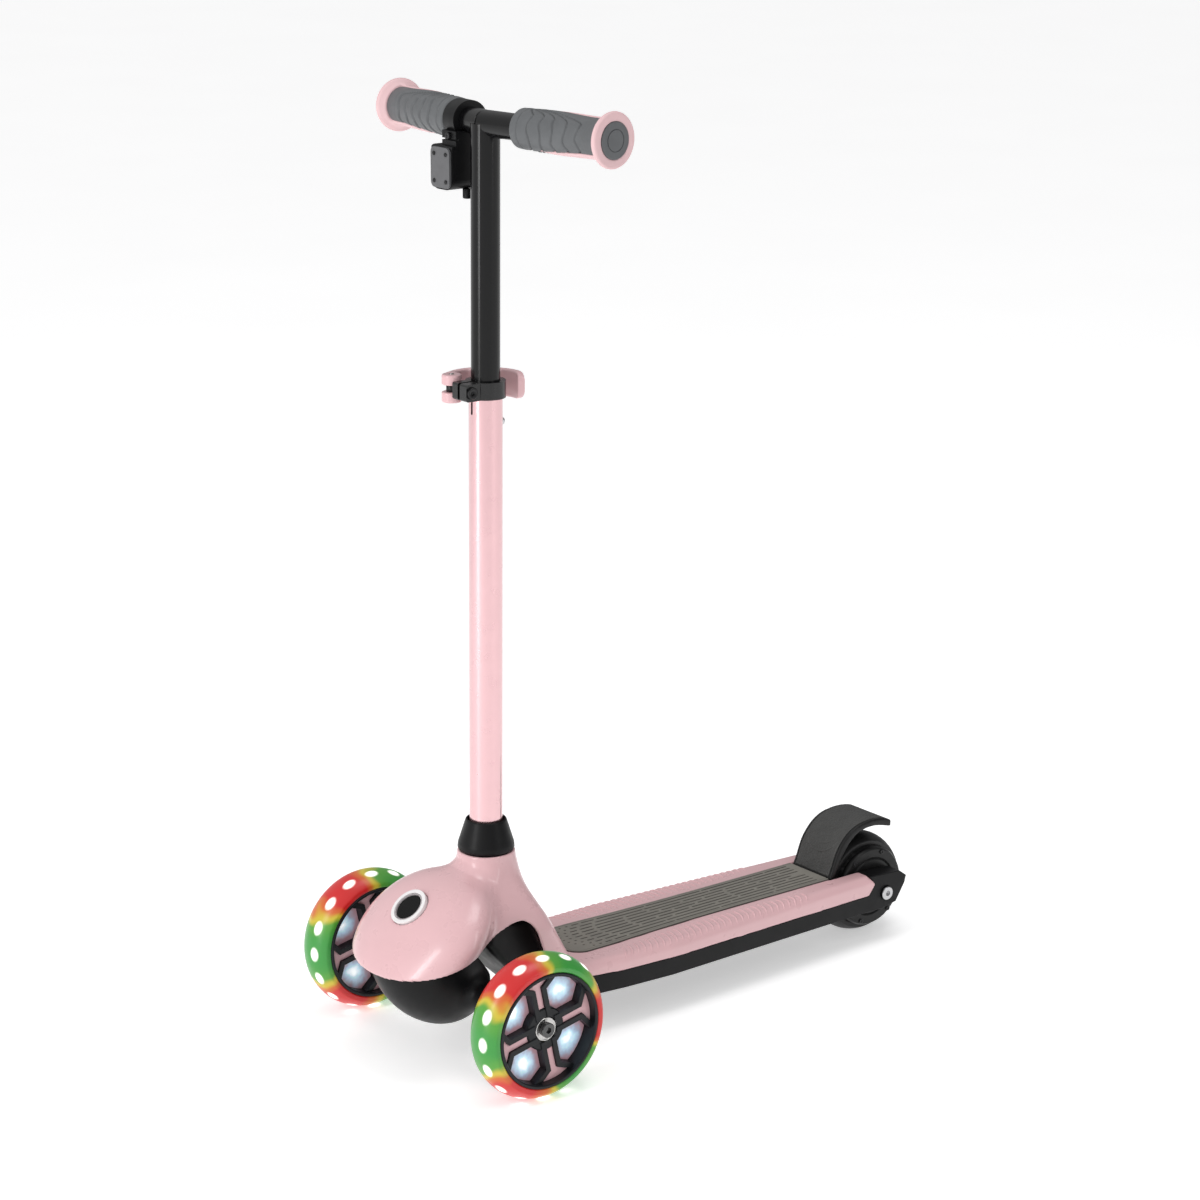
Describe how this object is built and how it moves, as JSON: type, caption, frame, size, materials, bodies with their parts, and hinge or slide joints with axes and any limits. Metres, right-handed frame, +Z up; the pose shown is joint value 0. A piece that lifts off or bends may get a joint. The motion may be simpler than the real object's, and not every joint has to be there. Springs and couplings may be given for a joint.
{
  "type": "kick scooter",
  "caption": "Child's three-wheeled lean-to-steer kick scooter with light-up front wheels, wide rear wheel under a foot brake, textured deck and height-adjustable handlebar.",
  "frame": {"origin": "centre of the bounding box, on the floor under the wheels", "axes": "+Z up along the handlebar column, -Y towards the nose and front wheels, +X to the rider's left"},
  "size_m": [0.3042, 0.6005, 0.8226],
  "materials": {
    "pink_shell": "satin moulded",
    "pink_tube": "satin metallic",
    "black_plastic": "fine texture",
    "black_tube": "semi gloss",
    "black_clamp": "satin",
    "mat_rubber": "embossed",
    "grip_rubber": "wavy grooves",
    "grip_pink": "smooth",
    "white_ring": "gloss",
    "grey_ring": "gloss",
    "button_black": "gloss",
    "steel": "bright",
    "black_steel": "blackened",
    "chrome": "polished",
    "wheel_black": "satin",
    "wheel_pink": "satin",
    "wheel_clear": "clear",
    "light_strip": "diffuse white",
    "wheel_tyre": "translucent cast urethane",
    "rear_tyre": "smooth",
    "rear_hub": "satin",
    "brake_black": "embossed",
    "cover_grey": "satin"
  },
  "bodies": {
    "deck": {"chassis": "black_plastic", "steering_neck": "black_plastic", "deck_cover": "pink_shell", "grip_mat": "mat_rubber", "deck_screws": "black_steel", "nose_shell": "pink_shell", "nose_ring": "white_ring", "nose_ring_inner": "grey_ring", "pivot_pin": "steel", "pivot_nut": "steel", "collar": "black_plastic", "lower_tube": "pink_tube", "clamp_band": "black_clamp", "clamp_bolt": "black_steel", "brake_pin": "steel", "rear_spacers": "steel", "rear_axle": "steel", "rear_axle_bolts": "chrome"},
    "truck": {"truck": "black_plastic", "front_axle": "steel", "front_wheel_bolts": "steel"},
    "left_wheel": {"left_rim": "wheel_black", "left_rim_panels": "wheel_pink", "left_rim_windows": "wheel_clear", "left_light_ring": "light_strip", "left_tyre": "wheel_tyre", "left_bearings": "steel"},
    "right_wheel": {"right_rim": "wheel_black", "right_rim_panels": "wheel_pink", "right_rim_windows": "wheel_clear", "right_light_ring": "light_strip", "right_tyre": "wheel_tyre", "right_bearings": "steel"},
    "rear_wheel": {"rear_tyre": "rear_tyre", "rear_hub": "rear_hub", "rear_hub_covers": "rear_hub", "rear_hub_screws": "black_steel", "rear_bearings": "steel"},
    "brake": {"brake_pedal": "brake_black"},
    "handlebar": {"upper_tube": "black_tube", "handlebar": "black_tube", "control_unit": "black_plastic", "unit_cover": "cover_grey", "unit_screws": "black_steel", "pinch_screw": "black_steel", "cable_gland": "black_plastic", "left_grip": "grip_rubber", "left_grip_trim": "grip_pink", "left_grip_cap": "grip_rubber", "right_grip": "grip_rubber", "right_grip_trim": "grip_pink", "right_grip_cap": "grip_rubber"},
    "clamp_lever": {"clamp_lever": "pink_shell", "lever_pin": "steel"},
    "lock_button": {"lock_button": "button_black"},
    "snap_button": {"snap_button": "chrome"},
    "power_button": {"power_button": "cover_grey"}
  },
  "joints": [
    {"name": "steering_lean", "type": "hinge", "parent": "deck", "child": "truck", "pos_m": [0, -0.26025, 0.1405], "axis": [0, -0.6428, 0.766], "range_deg": [-15, 15], "stiffness_Nm_per_rad": 40},
    {"name": "left_wheel_spin", "type": "hinge", "parent": "truck", "child": "left_wheel", "pos_m": [0.127, -0.21825, 0.0635], "axis": [1, 0, 0], "continuous": true},
    {"name": "right_wheel_spin", "type": "hinge", "parent": "truck", "child": "right_wheel", "pos_m": [-0.127, -0.21825, 0.0635], "axis": [1, 0, 0], "continuous": true},
    {"name": "rear_wheel_spin", "type": "hinge", "parent": "deck", "child": "rear_wheel", "pos_m": [0, 0.25225, 0.048], "axis": [1, 0, 0], "continuous": true},
    {"name": "brake_press", "type": "hinge", "parent": "deck", "child": "brake", "pos_m": [0, 0.20075, 0.0575], "axis": [-1, 0, 0], "range_deg": [0, 8], "stiffness_Nm_per_rad": 4, "springref_deg": -5.73},
    {"name": "handlebar_height", "type": "slide", "parent": "deck", "child": "handlebar", "axis": [0, 0.0105, 0.9999], "range_m": [-0.135, 0]},
    {"name": "clamp_lever_open", "type": "hinge", "parent": "deck", "child": "clamp_lever", "pos_m": [-0.0178, -0.1959, 0.58031], "axis": [0, 0.0105, 0.9999], "range_deg": [0, 150]},
    {"name": "lock_button_press", "type": "slide", "parent": "deck", "child": "lock_button", "axis": [0, 0.6428, -0.766], "range_m": [0, 0.004], "stiffness_N_per_m": 400, "springref_m": -0.002},
    {"name": "snap_button_press", "type": "slide", "parent": "deck", "child": "snap_button", "axis": [0, -0.9999, 0.0105], "range_m": [0, 0.0045], "stiffness_N_per_m": 400, "springref_m": -0.002},
    {"name": "power_button_press", "type": "slide", "parent": "handlebar", "child": "power_button", "axis": [0, -1, 0], "range_m": [0, 0.0015], "stiffness_N_per_m": 400, "springref_m": -0.002}
  ]
}
